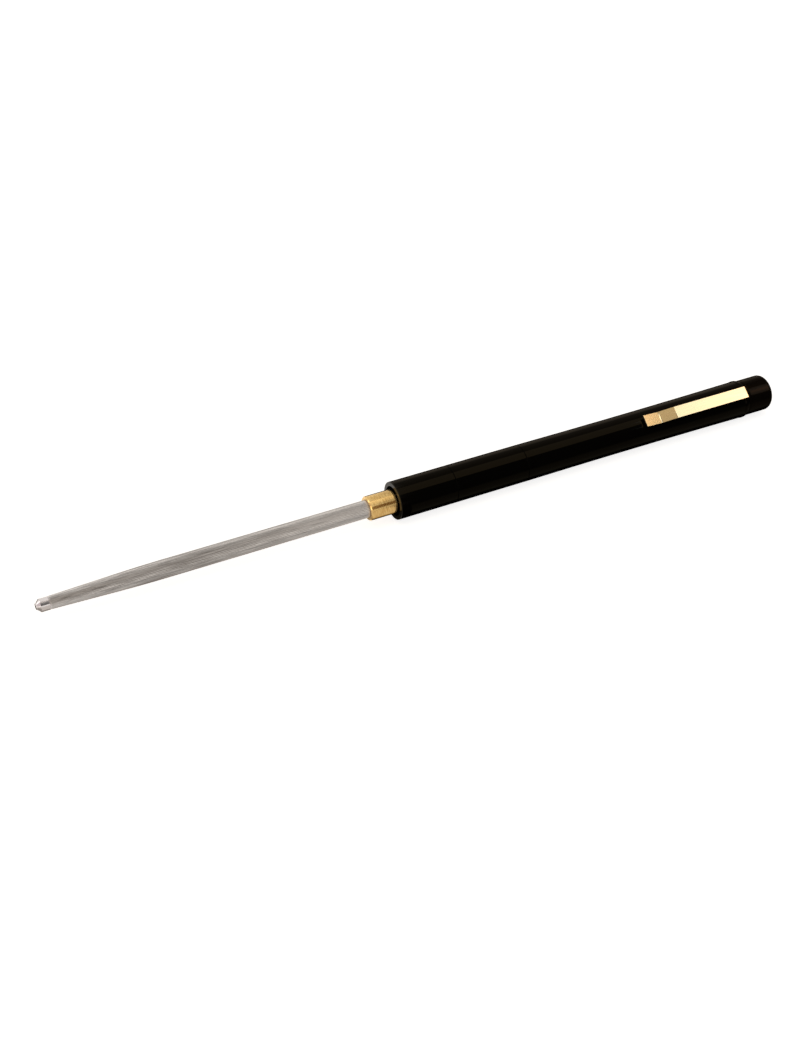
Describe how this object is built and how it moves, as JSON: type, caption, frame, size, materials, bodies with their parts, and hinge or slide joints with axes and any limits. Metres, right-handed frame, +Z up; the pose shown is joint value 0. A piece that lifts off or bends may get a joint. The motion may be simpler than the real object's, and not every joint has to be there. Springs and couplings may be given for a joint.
{
  "type": "honing steel",
  "caption": "Pocket honing steel: a fine-fluted tapered steel rod that slides on a brass collar into a black tubular handle with a gilt pocket clip.",
  "frame": {"origin": "centre of the handle's mouth, on the common axis, with the rod drawn out", "axes": "+X along the axis towards the end plug, so the rod points to -X; +Z up, the handle lying along the ground"},
  "size_m": [0.2106, 0.0106, 0.0111],
  "materials": {
    "hardened_steel": "fine lengthwise flutes, polished at the tip",
    "turned_brass": "turned",
    "rubber_ring": "matt",
    "black_lacquer": "gloss black lacquer",
    "gilt_sheet": "polished gilt"
  },
  "bodies": {
    "handle": {"nose_sleeve": "black_lacquer", "lower_barrel": "black_lacquer", "upper_barrel": "black_lacquer", "pocket_clip": "gilt_sheet", "end_plug": "black_lacquer"},
    "rod": {"steel_rod": "hardened_steel", "slide_collar": "turned_brass", "friction_ring": "rubber_ring"}
  },
  "joints": [
    {"name": "rod_slide", "type": "slide", "parent": "handle", "child": "rod", "axis": [1, 0, 0], "range_m": [0, 0.089]}
  ]
}
